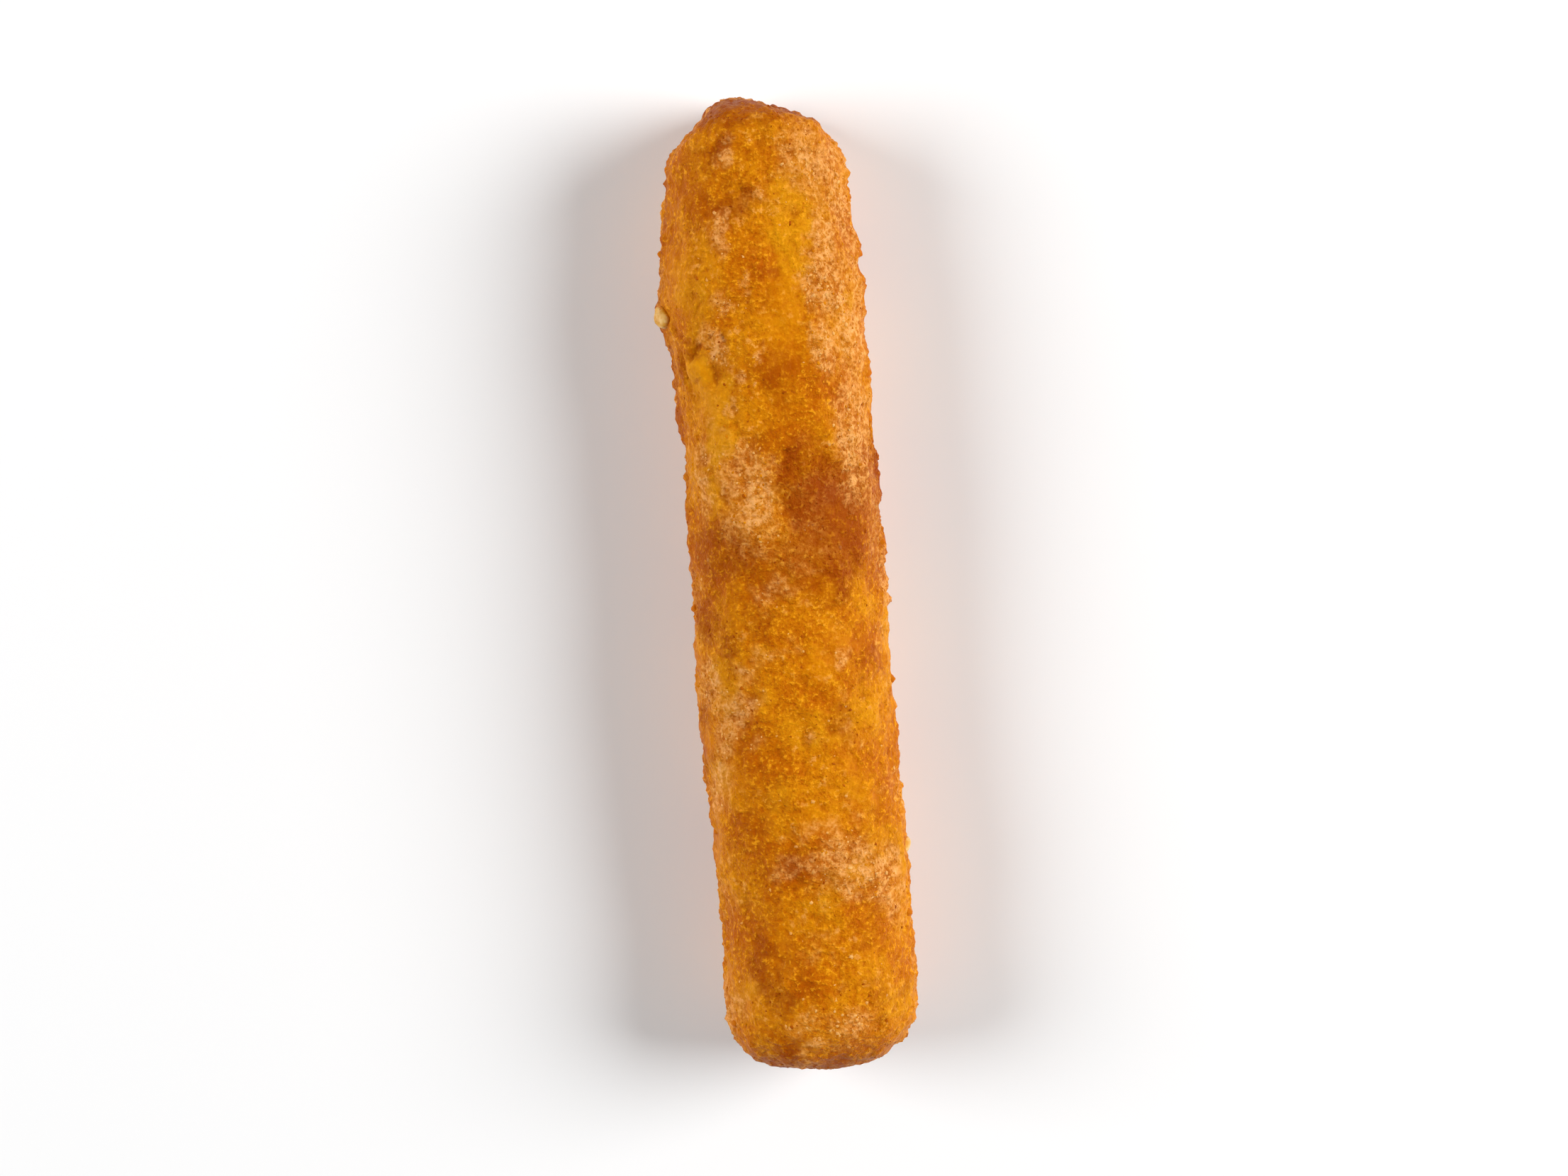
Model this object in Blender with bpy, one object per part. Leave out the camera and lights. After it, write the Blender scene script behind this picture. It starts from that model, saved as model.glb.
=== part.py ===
"""A fried mozzarella stick: one solid baton of cheese in a lumpy batter crust.

It lies on its flattened underside, with the side that shows up and its head end towards +Y.
The origin is under the middle of the stick, on the surface that it rests on. Units are metres.
The form is a rounded bar with slanting flats on the shoulders of its ends, raised and lowered
by named swells, blisters and the crust's own lumps.
"""

import math

import bmesh
import bpy
from mathutils import Vector, noise

MM = 0.001
NAME = "mozzarella_stick"

# Driving dimensions of the bar inside the relief
LENGTH = 91.4 * MM
HALF_WIDTH = 9.0 * MM
HALF_THICKNESS = 8.85 * MM
SECTION_POWER = 2.25  # 2 is an ellipse, and more is squarer
REST_DEPTH = 1.05 * MM  # how much of the round underside is pressed flat

# The rounded ends: how far each reaches along the bar, and how blunt it is
HEAD_REACH = 7.6 * MM
HEAD_POWER = 3.8
FOOT_REACH = 6.6 * MM
FOOT_POWER = 2.6

# The grid of faces: sides of the square that wraps the section, and steps along the bar
SIDE_FACES = 16
BAR_FACES = 74
END_RINGS = SIDE_FACES // 2
STEPS = BAR_FACES + 2 * END_RINGS
MERIDIAN_SAMPLES = 600
TIP_SHARE = 0.05  # below this share of the section, a point counts as the very tip

# Slanting flats that cut off the shoulders of the ends: how far to the side each one meets the
# tip in millimetres, which end it is on (1 is the head), and the way that it faces
SHOULDERS = (
    (-3.05, 1, Vector((-0.72, 0.69, 0.03))),
    (-0.75, 1, Vector((0.36, 0.93, 0.02))),
    (4.1, 1, Vector((0.82, 0.57, 0.03))),
    (5.6, -1, Vector((0.62, -0.74, 0.24))),
    (-6.2, -1, Vector((-0.50, -0.82, 0.05))),
)
SHOULDER_SOFTNESS = 0.18 * MM
REST_SOFTNESS = 0.16 * MM
REST_TRIM = 0.03 * MM

# The bar bows a little to -X between its ends
BOW = 0.42 * MM
BOW_AT = 20 * MM
BOW_REACH = 17 * MM

# Swells and hollows: rise, distance from the head, angle round the section (0 is +X, 90 is up),
# reach towards the head, reach towards the foot, reach round in degrees
SWELLS = (
    (-0.75, 5.0, 90, 5.0, 7.0, 400),  # the head end is slimmer all round
    (0.62, 18.5, 178, 7.0, 4.2, 52),  # left belly, which ends in a ledge
    (0.36, 19.5, 2, 7.0, 8.0, 50),  # right belly
    (-0.34, 31.5, 184, 5.0, 9.0, 60),  # left waist
    (0.28, 41.0, 0, 8.0, 8.0, 55),
    (0.34, 38.0, 96, 7.0, 8.0, 45),
    (-0.26, 11.5, 82, 3.5, 4.0, 40),
    (0.30, 26.5, 62, 5.0, 5.5, 36),
    (0.40, 54.0, 150, 8.0, 8.0, 60),
    (-0.30, 60.0, 40, 7.0, 7.0, 55),
    (0.42, 70.0, 20, 8.0, 7.0, 60),
    (-0.34, 77.0, 130, 6.0, 6.0, 60),
    (0.36, 82.5, 80, 5.0, 4.0, 70),
    (0.45, 33.0, 292, 10.0, 9.0, 45),
    (-0.35, 48.0, 236, 8.0, 8.0, 50),
    (0.40, 66.0, 250, 8.0, 9.0, 50),
    (0.30, 2.0, 60, 3.0, 3.0, 60),
)

# Blisters that burst out of the batter: height, distance from the head, angle, radius
BLISTERS = (
    (0.50, 20.2, 171, 1.1),
    (0.32, 24.2, 147, 1.2),
    (0.34, 1.6, 74, 0.95),
    (0.42, 0.5, 168, 1.3),
    (0.34, 14.2, 5, 1.0),
    (0.36, 18.8, 1, 1.1),
    (0.34, 25.9, 4, 1.1),
    (0.36, 30.8, 4, 1.1),
    (0.40, 34.0, 358, 1.1),
    (0.30, 37.8, 2, 1.2),
    (0.40, 42.6, 6, 1.2),
    (0.40, 52.5, 352, 1.1),
    (0.42, 63.0, 188, 1.2),
    (0.34, 73.5, 176, 1.1),
    (0.40, 80.0, 8, 1.2),
    (0.36, 57.0, 110, 1.3),
    (0.32, 87.5, 140, 1.1),
)

# Crust relief: wave length and height of each layer of lumps
ROLL_SIZE, ROLL_HEIGHT = 8.5 * MM, 0.30 * MM
LUMP_SIZE, LUMP_HEIGHT = 3.4 * MM, 0.26 * MM
PEBBLE_SIZE, PEBBLE_HEIGHT = 2.2 * MM, 0.42 * MM
CRUMB_SIZE, CRUMB_HEIGHT = 1.25 * MM, 0.22 * MM
PEBBLE_FALL = 1.35  # how fast a pebble falls off from its middle
ROUGH_MEAN, ROUGH_SWING = 0.75, 0.5  # how rough the crust is on average, and how much that varies
SMOOTH_SHARE = 0.40  # pebbles keep this much of their height on the smoothest side
ROUGH_ANGLE = 340  # the side that is the roughest, in degrees round the section

CRUST_COLOUR = (0.60, 0.23, 0.028, 1.0)
CRUST_ROUGHNESS = 0.46


def clear_scene():
    for old in list(bpy.data.objects):
        bpy.data.objects.remove(old, do_unlink=True)


def crust_material():
    """Golden, slightly oily fried batter."""
    material = bpy.data.materials.new("fried_batter")
    material.use_nodes = True
    shader = material.node_tree.nodes["Principled BSDF"]
    shader.inputs["Base Color"].default_value = CRUST_COLOUR
    shader.inputs["Roughness"].default_value = CRUST_ROUGHNESS
    shader.inputs["Metallic"].default_value = 0.0
    return material


def end_width(depth, reach, power):
    """Share of the full section at a depth below the tip of a rounded end."""
    left = max(0.0, 1 - depth / reach)
    return (1 - left**power) ** (1 / power)


def bar_width(along):
    """Share of the full section at a distance from the head's tip."""
    head = end_width(along, HEAD_REACH, HEAD_POWER)
    foot = end_width(LENGTH - along, FOOT_REACH, FOOT_POWER)
    return head * foot


def meridian():
    """(distance from the head, share of the section) at even steps over the surface, tip to tip."""
    half_turn = [math.pi * k / MERIDIAN_SAMPLES for k in range(MERIDIAN_SAMPLES + 1)]
    places = [LENGTH * (1 - math.cos(turn)) / 2 for turn in half_turn]
    line = [(along, bar_width(along)) for along in places]
    run = [0.0]
    for (along, share), (next_along, next_share) in zip(line, line[1:]):
        run.append(run[-1] + math.hypot(next_along - along, HALF_WIDTH * (next_share - share)))
    even, k = [], 0
    for step in range(STEPS + 1):
        wanted = run[-1] * step / STEPS
        while k < MERIDIAN_SAMPLES - 1 and run[k + 1] < wanted:
            k += 1
        part = min(1.0, (wanted - run[k]) / (run[k + 1] - run[k]))
        even.append(tuple(a + (b - a) * part for a, b in zip(line[k], line[k + 1])))
    return even


def section_radius(angle):
    """Radius of the bar's superellipse at an angle in radians."""
    across = abs(math.cos(angle)) / HALF_WIDTH
    up = abs(math.sin(angle)) / HALF_THICKNESS
    return (across**SECTION_POWER + up**SECTION_POWER) ** (-1 / SECTION_POWER)


def turn_between(angle, centre):
    """Degrees from centre to angle, the short way round."""
    return (math.degrees(angle) - centre + 180) % 360 - 180


def swells_at(along, angle):
    """Rise of the surface from all the named swells, in metres."""
    rise = 0.0
    for height, at, centre, to_head, to_foot, spread in SWELLS:
        away = along / MM - at
        shift = away / (to_head if away < 0 else to_foot)
        turned = turn_between(angle, centre) / spread
        rise += height * MM * math.exp(-(shift**2) - turned**2)
    return rise


def blisters_at(along, angle):
    """Rise of the surface from the blisters, each a low dome."""
    rise = 0.0
    for height, at, centre, radius in BLISTERS:
        round_way = math.radians(turn_between(angle, centre)) * HALF_WIDTH / MM
        apart = math.hypot(along / MM - at, round_way) / radius
        rise += height * MM * math.exp(-(apart**4))
    return rise


def pebbles(point, size):
    """Height from 0 to 1 of rounded lumps packed side by side."""
    nearest = noise.voronoi(point / size)[0][0]
    return max(0.0, 1 - PEBBLE_FALL * nearest**2)


def relief_at(point, angle):
    """Rise of the crust's own lumps and crags at a point, in metres."""
    roll = noise.noise(point / ROLL_SIZE)
    lump = noise.noise(point / LUMP_SIZE + Vector((7, 0, 0)))
    smooth = (1 - math.cos(math.radians(turn_between(angle, ROUGH_ANGLE)))) / 2
    patch = ROUGH_MEAN + ROUGH_SWING * noise.noise(point / (2 * ROLL_SIZE) + Vector((0, 9, 0)))
    rough = patch * (1 - (1 - SMOOTH_SHARE) * smooth)
    grains = PEBBLE_HEIGHT * (pebbles(point, PEBBLE_SIZE) - 0.5)
    grains += CRUMB_HEIGHT * noise.noise(point / CRUMB_SIZE + Vector((0, 0, 5)))
    return ROLL_HEIGHT * roll + LUMP_HEIGHT * lump + rough * grains


def soft_rise(depth, softness):
    """depth where it is well above 0, and nearly 0 where it is below, with a soft turn between."""
    return max(depth, 0.0) + softness * math.log1p(math.exp(-abs(depth) / softness))


def shouldered(point):
    """The point brought back behind the soft flats of the shoulders."""
    for from_middle, end, facing in SHOULDERS:
        at = Vector((from_middle * MM, end * LENGTH / 2, 0))
        out = facing.normalized()
        point = point - out * soft_rise((point - at).dot(out), SHOULDER_SOFTNESS)
    return point


def surface_point(line, step, angle):
    """The crust's surface at a step of the meridian and an angle round the section."""
    along, share = line[step]
    before, after = line[max(0, step - 1)], line[min(STEPS, step + 1)]
    run = after[0] - before[0]
    widening = HALF_WIDTH * (after[1] - before[1])
    round_way = Vector((math.cos(angle), 0, math.sin(angle)))
    outward = (round_way * run + Vector((0, widening, 0))).normalized()
    if step in (0, STEPS):
        outward = Vector((0, 1 if step == 0 else -1, 0))
    point = round_way * section_radius(angle) * share
    point.y = LENGTH / 2 - along
    fade = min(1.0, 2 * share)
    rise = (swells_at(along, angle) + blisters_at(along, angle)) * fade
    point += outward * (rise + relief_at(point, angle if share > TIP_SHARE else math.pi / 2))
    point = shouldered(point)
    point.x -= BOW * math.exp(-(((along - BOW_AT) / BOW_REACH) ** 2))
    height = soft_rise(point.z + HALF_THICKNESS - REST_DEPTH, REST_SOFTNESS) - REST_TRIM
    point.z = max(0.0, height)
    return point


def grid_place(corner):
    """(step of the meridian, angle) of a vertex of the gridded cube, whose half side is 1."""
    reach = max(abs(corner.x), abs(corner.z))
    if corner.y > 1 - 0.5 / BAR_FACES:
        step = END_RINGS * reach
    elif corner.y < -1 + 0.5 / BAR_FACES:
        step = STEPS - END_RINGS * reach
    else:
        step = END_RINGS + BAR_FACES * (1 - corner.y) / 2
    if reach < 0.5 / END_RINGS:
        return round(step), 0.0
    across, up = corner.x / reach, corner.z / reach
    if abs(across) >= abs(up):
        turn = up * math.pi / 4
        return round(step), turn if across > 0 else math.pi - turn
    turn = math.pi / 2 - across * math.pi / 4
    return round(step), turn if up > 0 else -turn


def edges_along(grid, axis):
    """The grid's edges that run along an axis."""
    return [e for e in grid.edges if abs((e.verts[0].co - e.verts[1].co)[axis]) > 1e-6]


def gridded_cube():
    """A cube primitive whose faces are split into the crust's grid."""
    grid = bmesh.new()
    bmesh.ops.create_cube(grid, size=2)
    for axis, faces in ((1, BAR_FACES), (0, SIDE_FACES), (2, SIDE_FACES)):
        edges = edges_along(grid, axis)
        bmesh.ops.subdivide_edges(grid, edges=edges, cuts=faces - 1, use_grid_fill=True)
    return grid


def centre_on_floor(grid):
    """Slides the crust so that the middle of its box is over the origin."""
    for axis in (0, 1):
        places = [vertex.co[axis] for vertex in grid.verts]
        middle = (min(places) + max(places)) / 2
        for vertex in grid.verts:
            vertex.co[axis] -= middle


def build_stick(collection):
    """The whole stick, as one object."""
    grid = gridded_cube()
    line = meridian()
    for vertex in grid.verts:
        step, angle = grid_place(vertex.co)
        vertex.co = surface_point(line, step, angle)
    centre_on_floor(grid)
    bmesh.ops.recalc_face_normals(grid, faces=grid.faces)
    mesh = bpy.data.meshes.new(NAME)
    grid.to_mesh(mesh)
    grid.free()
    mesh.materials.append(crust_material())
    mesh.shade_smooth()
    stick = bpy.data.objects.new(NAME, mesh)
    collection.objects.link(stick)
    return stick


def main():
    clear_scene()
    collection = bpy.data.collections.new(NAME)
    bpy.context.scene.collection.children.link(collection)
    build_stick(collection)


main()
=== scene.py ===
"""The looks of one fried mozzarella stick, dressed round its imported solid.

The stick lies along Y, its head end at +Y, on the surface at z = 0. Units are metres, and sizes
given in millimetres carry the factor MM. Places on the crust are given as degrees from the top
line, positive towards +X, and millimetres from the head's tip.

The crust is the solid's own surface, refined and roughened by Geometry Nodes, which also paint
the tones that the finishes read. Crumbs are scattered over it by a second tree, and bubbles and
burrs of batter are set on it one by one.
"""

import logging
import math
from dataclasses import dataclass, field
from enum import Enum
from typing import Optional, Sequence, Union

import bmesh
import bpy
from mathutils import Matrix, Vector, noise
from mathutils.bvhtree import BVHTree


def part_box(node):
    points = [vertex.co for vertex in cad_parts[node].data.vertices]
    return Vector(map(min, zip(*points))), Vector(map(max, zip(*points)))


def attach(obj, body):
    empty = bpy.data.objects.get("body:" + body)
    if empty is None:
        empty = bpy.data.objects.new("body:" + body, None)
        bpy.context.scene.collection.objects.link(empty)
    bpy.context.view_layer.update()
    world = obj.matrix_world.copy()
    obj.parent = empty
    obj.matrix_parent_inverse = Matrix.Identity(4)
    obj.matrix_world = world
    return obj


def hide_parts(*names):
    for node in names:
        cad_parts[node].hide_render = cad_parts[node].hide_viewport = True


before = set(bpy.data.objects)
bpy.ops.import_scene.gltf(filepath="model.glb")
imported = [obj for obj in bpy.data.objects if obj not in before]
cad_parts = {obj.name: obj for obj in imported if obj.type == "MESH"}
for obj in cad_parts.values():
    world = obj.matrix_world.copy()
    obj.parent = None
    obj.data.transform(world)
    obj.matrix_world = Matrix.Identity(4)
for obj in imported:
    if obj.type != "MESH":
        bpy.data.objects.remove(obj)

LOG = logging.getLogger("mozzarella_stick")
MM = 0.001
NODE = "mozzarella_stick"
BODY = "root"

Number = Union["Wire", float]
Setting = Union["Wire", float, int, bool, str, Sequence[float], bpy.types.ID]
Colour = tuple[float, float, float, float]


def from_screen(red: int, green: int, blue: int) -> Colour:
    """A colour for a shader from its value on a screen.

    Args:
        red: Red from 0 to 255.
        green: Green from 0 to 255.
        blue: Blue from 0 to 255.

    Returns:
        The linear colour with full alpha.
    """
    linear = []
    for part in (red / 255, green / 255, blue / 255):
        linear.append(part / 12.92 if part <= 0.04045 else ((part + 0.055) / 1.055) ** 2.4)
    return (*linear, 1.0)


class Wire:
    """A node's output that takes part in Python expressions, each adding a Math node."""

    def __init__(self, book: "NodeBook", socket: bpy.types.NodeSocket) -> None:
        """Keeps the output socket and the book that adds nodes to its tree."""
        self.book = book
        self.socket = socket

    def __add__(self, other: Number) -> "Wire":
        """Self plus other."""
        return self.book.maths("ADD", self, other)

    def __radd__(self, other: Number) -> "Wire":
        """Other plus self."""
        return self.book.maths("ADD", other, self)

    def __sub__(self, other: Number) -> "Wire":
        """Self minus other."""
        return self.book.maths("SUBTRACT", self, other)

    def __rsub__(self, other: Number) -> "Wire":
        """Other minus self."""
        return self.book.maths("SUBTRACT", other, self)

    def __mul__(self, other: Number) -> "Wire":
        """Self times other."""
        return self.book.maths("MULTIPLY", self, other)

    def __rmul__(self, other: Number) -> "Wire":
        """Other times self."""
        return self.book.maths("MULTIPLY", other, self)

    def __truediv__(self, other: Number) -> "Wire":
        """Self divided by other."""
        return self.book.maths("DIVIDE", self, other)

    def __rtruediv__(self, other: Number) -> "Wire":
        """Other divided by self."""
        return self.book.maths("DIVIDE", other, self)

    def __abs__(self) -> "Wire":
        """Self without its sign."""
        return self.book.maths("ABSOLUTE", self)

    def at_least(self, floor: Number) -> "Wire":
        """The larger of self and floor."""
        return self.book.maths("MAXIMUM", self, floor)

    def at_most(self, ceiling: Number) -> "Wire":
        """The smaller of self and ceiling."""
        return self.book.maths("MINIMUM", self, ceiling)

    def share(self) -> "Wire":
        """Self held between 0 and 1."""
        return self.at_least(0.0).at_most(1.0)

    def ramp(self, start: float, end: float, low: float = 0.0, high: float = 1.0) -> "Wire":
        """A smooth step of self, which gives low up to start and high from end on."""
        values = {"Value": self, "From Min": start, "From Max": end, "To Min": low, "To Max": high}
        return self.book.add("ShaderNodeMapRange", {"interpolation_type": "SMOOTHSTEP"}, values)


class NodeBook:
    """Adds nodes to one shader or geometry tree."""

    def __init__(self, tree: bpy.types.NodeTree) -> None:
        """Keeps the shader or geometry tree to add to."""
        self.tree = tree

    @staticmethod
    def find(sockets: bpy.types.bpy_prop_collection, key: Union[str, int]) -> bpy.types.NodeSocket:
        """One of a node's sockets.

        Args:
            sockets: The node's inputs or outputs.
            key: The socket's place, identifier or name.

        Returns:
            The socket, where a name belongs to several the one in use.
        """
        if isinstance(key, int):
            return sockets[key]
        for socket in sockets:
            if socket.identifier == key:
                return socket
        return next(socket for socket in sockets if socket.name == key and socket.enabled)

    def feed(self, socket: bpy.types.NodeSocket, value: Setting) -> None:
        """Links or sets one input.

        Args:
            socket: The input socket.
            value: A wire to link, or a plain value to set.
        """
        if isinstance(value, Wire):
            self.tree.links.new(value.socket, socket)
        else:
            socket.default_value = value

    def add(
        self,
        kind: str,
        settings: Optional[dict] = None,
        values: Optional[dict] = None,
        out: Union[str, int] = 0,
    ) -> Wire:
        """Adds a node.

        Args:
            kind: The node's type.
            settings: Its own settings, which are set first.
            values: What its inputs get, by place, identifier or name.
            out: The output to hand back.

        Returns:
            The wire from that output.
        """
        node = self.tree.nodes.new(kind)
        for name, setting in (settings or {}).items():
            setattr(node, name, setting)
        for key, value in (values or {}).items():
            self.feed(self.find(node.inputs, key), value)
        return Wire(self, self.find(node.outputs, out))

    def maths(self, operation: str, first: Number, second: Number = 0.0) -> Wire:
        """A Math node, by Blender's name of its operation."""
        return self.add("ShaderNodeMath", {"operation": operation}, {0: first, 1: second})

    def vector_maths(
        self, operation: str, first: Setting, second: Setting, third: Setting = (0.0, 0.0, 0.0)
    ) -> Wire:
        """A Vector Math node, by Blender's name of its operation; SCALE takes a number second."""
        values = {0: first, "Scale" if operation == "SCALE" else 1: second, 2: third}
        return self.add("ShaderNodeVectorMath", {"operation": operation}, values)

    def parts(self, vector: Wire) -> list[Wire]:
        """The three numbers of a vector."""
        node = self.add("ShaderNodeSeparateXYZ", None, {0: vector}).socket.node
        return [Wire(self, socket) for socket in node.outputs]

    def mix_colour(self, factor: Number, first: Setting, second: Setting) -> Wire:
        """A colour between two, the first where the factor is 0 and the second where it is 1."""
        values = {"Factor_Float": factor, "A_Color": first, "B_Color": second}
        return self.add("ShaderNodeMix", {"data_type": "RGBA"}, values, "Result_Color")

    def cloud(self, place: Wire, size: float, detail: float = 2.0, rough: float = 0.5) -> Wire:
        """Soft noise from about 0.2 to 0.8, whose largest lumps have the given size in metres."""
        values = {"Vector": place, "Scale": 1 / size, "Detail": detail, "Roughness": rough}
        return self.add("ShaderNodeTexNoise", None, values, "Fac")

    def cells(self, place: Wire, size: float, soft: float = 0.0) -> Wire:
        """Packed round cells.

        Args:
            place: The coordinates in metres.
            size: The distance between neighbours in metres.
            soft: How far neighbouring cells melt together, from 0 to 1.

        Returns:
            The distance from a cell's middle, in cell sizes.
        """
        settings = {"feature": "SMOOTH_F1" if soft else "F1"}
        values = {"Vector": place, "Scale": 1 / size}
        if soft:
            values["Smoothness"] = soft
        return self.add("ShaderNodeTexVoronoi", settings, values, "Distance")


class Tone(Enum):
    """The tones painted on the crust, each an attribute of its mesh from 0 to 1."""

    BROWN = "brown"
    PALE = "pale"
    HONEY = "honey"
    SMOOTH = "smooth"


RELIEF = "relief"
TINT = "tint"


@dataclass(frozen=True)
class Patch:
    """An area of one tone, which reaches so many degrees round and millimetres along."""

    angle: float
    from_head: float
    wide: float
    long: float
    strength: float


@dataclass(frozen=True)
class Dome:
    """A low round swelling of the batter, or with a negative height a dent."""

    angle: float
    from_head: float
    radius: float
    height: float


@dataclass(frozen=True)
class Crease:
    """A narrow furrow from one place on the crust to another."""

    start: tuple[float, float]
    end: tuple[float, float]
    width: float
    depth: float


PATCHES = {
    Tone.BROWN: (
        Patch(0, 0.0, 400, 2.8, 0.85),
        Patch(-13, 0.8, 14, 1.5, 0.45),
        Patch(-16, 3.5, 9, 1.4, 0.7),
        Patch(-25, 4.9, 9, 1.4, 0.7),
        Patch(-9, 8.8, 6, 1.3, 0.6),
        Patch(-18, 10.1, 10, 1.8, 0.75),
        Patch(-5, 9.3, 6, 1.6, 0.6),
        Patch(4, 16.0, 12, 0.9, 0.55),
        Patch(6, 24.9, 12, 2.8, 0.55),
        Patch(10, 33.8, 9, 1.8, 0.9),
        Patch(11, 38.0, 7, 1.8, 0.7),
        Patch(20, 35.9, 19, 5.2, 0.75),
        Patch(39, 38.8, 19, 6.8, 0.85),
        # The five brown patches from here lie along the creases: painted shade in them.
        Patch(-56, 21.8, 9, 0.8, 0.45),
        Patch(-62, 24.2, 5, 1.9, 0.7),
        Patch(-27, 22.1, 4, 0.7, 0.5),
        Patch(-46, 22.8, 7, 0.7, 0.45),
        Patch(-35, 25.1, 4, 1.2, 0.45),
        # These two darken a band across the stick near 41 to 43 mm from the head: partly browning, partly
        # painted shade.
        Patch(-43, 41.2, 30, 3.2, 0.65),
        Patch(14, 43.2, 50, 3.4, 0.6),
        # These two are painted shade: darker on the +X side near 38 mm from the head, and along the -X
        # edge.
        Patch(78, 37.5, 26, 9.0, 0.5),
        Patch(-88, 25.0, 12, 30.0, 0.5),
    ),
    # The pale patches on the +X side, which the brighter lamp lights, are partly painted sheen as well as
    # pale batter.
    Tone.PALE: (
        Patch(-17, 5.7, 9, 1.2, 0.6),
        Patch(-14, 4.2, 7, 0.9, 0.5),
        Patch(1, 8.9, 4, 0.8, 0.5),
        Patch(-23, 12.6, 6, 2.2, 0.8),
        Patch(37, 5.7, 20, 3.2, 0.6),
        Patch(43, 12.9, 12, 2.6, 0.75),
        Patch(38, 15.8, 11, 2.4, 0.85),
        Patch(38, 17.4, 13, 2.2, 0.9),
        Patch(50, 18.8, 7, 1.3, 1.0),
        Patch(37, 22.9, 9, 2.4, 0.9),
        Patch(39, 25.1, 6, 0.7, 0.9),
        Patch(64, 22.3, 18, 3.6, 0.9),
        Patch(75, 17.5, 12, 2.5, 0.7),
        Patch(59, 30.7, 20, 5.0, 0.8),
        Patch(-12, 17.2, 5, 0.6, 0.5),
        Patch(-26, 18.4, 6, 1.0, 0.6),
        Patch(-37, 21.4, 8, 1.4, 0.75),
        Patch(-30, 22.8, 6, 1.3, 0.95),
        Patch(-14, 25.2, 4, 0.7, 0.8),
        Patch(-25, 27.9, 4, 0.7, 0.7),
        Patch(-42, 29.4, 4, 0.8, 0.7),
        Patch(-4, 23.5, 4, 0.7, 0.7),
        Patch(-20, 36.0, 19, 5.5, 0.62),
        Patch(-9, 36.8, 14, 4.5, 0.35),
        Patch(46, 16.5, 17, 5.0, 0.45),
        Patch(52, 9.0, 16, 4.5, 0.3),
        Patch(68, 8.0, 15, 4.5, 0.6),
        Patch(74, 12.5, 12, 4.0, 0.6),
        Patch(-52, 34.5, 7, 4.0, 0.7),
        Patch(54, 32.9, 13, 3.0, 0.7),
        Patch(54, 35.6, 10, 3.0, 0.6),
        Patch(73, 38.5, 13, 6.0, 0.35),
    ),
    Tone.HONEY: (
        Patch(21, 11.2, 16, 4.2, 0.8),
        Patch(36, 8.5, 16, 4.0, 0.6),
        Patch(20, 15.0, 12, 2.5, 0.5),
        Patch(58, 19.5, 5, 0.8, 0.9),
        Patch(47, 14.2, 4, 0.6, 0.8),
        Patch(-44, 18.9, 16, 3.5, 0.7),
        Patch(-48, 24.6, 10, 2.0, 1.0),
        Patch(-26, 26.0, 5, 1.0, 1.0),
        Patch(-32, 30.4, 8, 2.0, 1.0),
        Patch(-38, 31.4, 8, 1.6, 1.0),
        Patch(-43, 35.4, 8, 3.0, 0.7),
        Patch(-38, 27.5, 14, 4.0, 0.7),
    ),
    Tone.SMOOTH: (
        Patch(14, 19.9, 16, 6.0, 0.9),
        Patch(6, 25.0, 12, 4.0, 0.5),
        Patch(-48, 24.6, 10, 2.4, 1.0),
        Patch(-40, 28.0, 14, 4.0, 0.8),
        Patch(35, 39.0, 20, 4.5, 0.6),
        Patch(64, 22.3, 14, 3.0, 0.7),
        Patch(-60, 16.0, 14, 5.0, 0.6),
    ),
}

# Each tone also drifts over the crust by a noise of its own: where that starts to show, where it
# is full, and its strength.
DRIFTS = {
    Tone.BROWN: (0.52, 0.68, 0.75),
    Tone.PALE: (0.52, 0.66, 0.85),
    Tone.HONEY: (0.50, 0.66, 0.7),
    Tone.SMOOTH: (0.53, 0.65, 0.9),
}

RIGHT_KNOBS = (5.2, 7.8, 11.7, 17.6, 20.2, 25.7, 28.5, 34.5, 37.8, 40.6)
LEFT_KNOBS = (4.6, 8.4, 12.3, 24.0, 29.2, 33.6, 36.9, 41.3)

DOMES = (
    Dome(-48, 24.6, 1.3, 0.30),
    Dome(-43, 26.5, 1.0, 0.20),
    Dome(-40, 28.6, 1.5, 0.22),
    Dome(-33, 30.6, 1.3, 0.24),
    Dome(-53, 22.8, 0.7, 0.26),
    Dome(37, 22.9, 1.2, 0.22),
    Dome(50, 18.8, 0.9, 0.20),
    Dome(-23, 12.6, 0.9, 0.16),
    Dome(-36, 21.4, 1.2, 0.22),
    Dome(15, 12.4, 0.5, 0.14),
    Dome(10, 33.8, 1.2, -0.14),
    Dome(-9, 8.8, 0.9, -0.12),
    Dome(44, 13.0, 1.0, 0.16),
    Dome(36, 16.2, 1.1, 0.18),
    Dome(57, 15.4, 1.2, 0.20),
    Dome(61, 22.4, 1.4, 0.22),
    Dome(48, 27.0, 0.8, 0.14),
    Dome(65, 28.2, 1.3, 0.20),
    Dome(56, 31.4, 1.2, 0.20),
    Dome(64, 36.2, 1.3, 0.22),
    *(Dome(80, run, 0.60, 0.20) for run in RIGHT_KNOBS),
    *(Dome(-80, run, 0.55, 0.16) for run in LEFT_KNOBS),
)

CREASES = (
    Crease((-66, 20.9), (-52, 21.8), 0.34, 0.22),
    Crease((-52, 23.5), (-43, 22.2), 0.26, 0.20),
    Crease((-60, 22.8), (-57, 26.2), 0.30, 0.22),
    Crease((-52, 25.8), (-45, 25.2), 0.22, 0.18),
    Crease((-36, 24.4), (-35, 26.0), 0.28, 0.14),
    Crease((-29, 21.3), (-24, 22.6), 0.24, 0.20),
    Crease((-36, 21.6), (-31, 20.9), 0.22, 0.14),
)


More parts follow.
